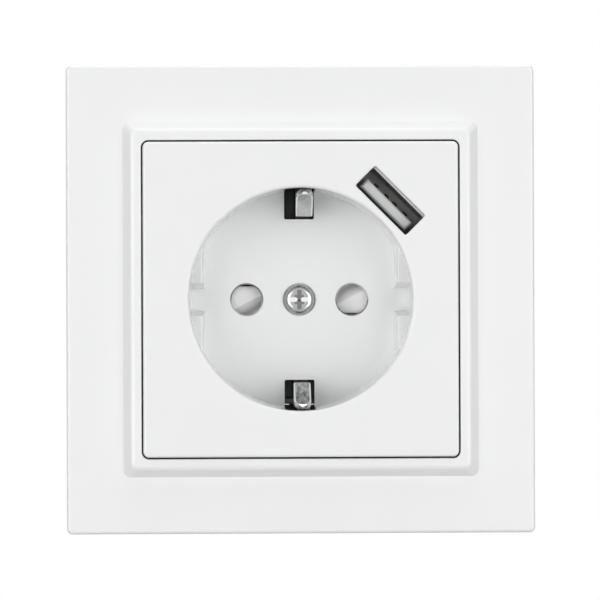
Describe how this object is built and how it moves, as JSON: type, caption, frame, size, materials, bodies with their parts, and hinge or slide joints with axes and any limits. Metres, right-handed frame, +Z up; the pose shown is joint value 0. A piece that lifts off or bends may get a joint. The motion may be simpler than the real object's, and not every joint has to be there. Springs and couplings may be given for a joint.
{
  "type": "usb wall socket",
  "caption": "White flush wall socket with a round earthed plug well, side earth clips and a slanted USB charging port, in a square bevelled cover frame.",
  "frame": {"origin": "on the wall plane, on the axis of the plug well, midway between the box screw slots", "axes": "+X to the right seen from the front, -Y out of the wall towards the user, +Z up the wall"},
  "size_m": [0.082, 0.0449, 0.082],
  "materials": {
    "white_gloss": "smooth gloss",
    "shutter_white": "satin",
    "base_dark": "matt",
    "zinc_steel": "zinc plated",
    "nickel": "bright nickel plate",
    "contact_brass": "bright",
    "board_green": "solder mask",
    "ferrite": "matt",
    "winding_tape": "tape",
    "can_aluminium": "satin",
    "chip_black": "matt"
  },
  "bodies": {
    "socket": {"cover_frame": "white_gloss", "centre_plate": "white_gloss", "centre_screw": "nickel", "shutter_spring": "zinc_steel", "usb_shell": "nickel", "usb_tongue": "white_gloss", "usb_contacts": "contact_brass", "usb_board": "board_green", "support_ring": "zinc_steel", "ring_screws": "zinc_steel", "earth_yoke": "zinc_steel", "contact_base": "base_dark", "live_contact": "contact_brass", "neutral_contact": "contact_brass", "terminal_screws": "zinc_steel", "clamp_plates": "zinc_steel", "rear_cover": "base_dark", "rear_cover_screws": "zinc_steel", "claw_pins": "zinc_steel", "charger_board": "board_green", "transformer_core": "ferrite", "transformer_winding": "winding_tape", "input_capacitor": "can_aluminium", "output_capacitor": "can_aluminium", "controller_chip": "chip_black", "bridge_rectifier": "chip_black"},
    "rotor": {"shutter": "shutter_white"},
    "screw_left": {"claw_screw_left": "zinc_steel"},
    "screw_right": {"claw_screw_right": "zinc_steel"},
    "nut_left": {"claw_nut_left": "zinc_steel"},
    "nut_right": {"claw_nut_right": "zinc_steel"},
    "spread_left": {"claw_left": "zinc_steel"},
    "spread_right": {"claw_right": "zinc_steel"}
  },
  "joints": [
    {"name": "shutter_turn", "type": "hinge", "parent": "socket", "child": "rotor", "pos_m": [0, 0.0112, 0], "axis": [0, 1, 0], "range_deg": [0, 42], "stiffness_Nm_per_rad": 0.002, "springref_deg": -17.19, "deforming": ["shutter_spring"]},
    {"name": "claw_screw_left_turn", "type": "hinge", "parent": "socket", "child": "screw_left", "pos_m": [-0.0245, 0, 0], "axis": [0, 1, 0], "range_deg": [0, 582]},
    {"name": "claw_screw_right_turn", "type": "hinge", "parent": "socket", "child": "screw_right", "pos_m": [0.0245, 0, 0], "axis": [0, 1, 0], "range_deg": [0, 582]},
    {"name": "claw_nut_left_slide", "type": "slide", "parent": "socket", "child": "nut_left", "axis": [0, -1, 0], "range_m": [0, 0.00097]},
    {"name": "claw_nut_right_slide", "type": "slide", "parent": "socket", "child": "nut_right", "axis": [0, -1, 0], "range_m": [0, 0.00097]},
    {"name": "claw_left_swing", "type": "hinge", "parent": "socket", "child": "spread_left", "pos_m": [-0.02, 0.017, 0], "axis": [0, 0, 1], "range_deg": [0, 28.2]},
    {"name": "claw_right_swing", "type": "hinge", "parent": "socket", "child": "spread_right", "pos_m": [0.02, 0.017, 0], "axis": [0, 0, -1], "range_deg": [0, 28.2]}
  ],
  "couplings": [
    {"joint": "claw_screw_left_turn", "follows": "claw_nut_left_slide", "rad_per_m": 10472},
    {"joint": "claw_left_swing", "follows": "claw_nut_left_slide", "rad_per_m": 507.29},
    {"joint": "claw_screw_right_turn", "follows": "claw_nut_right_slide", "rad_per_m": 10472},
    {"joint": "claw_right_swing", "follows": "claw_nut_right_slide", "rad_per_m": 507.29}
  ]
}
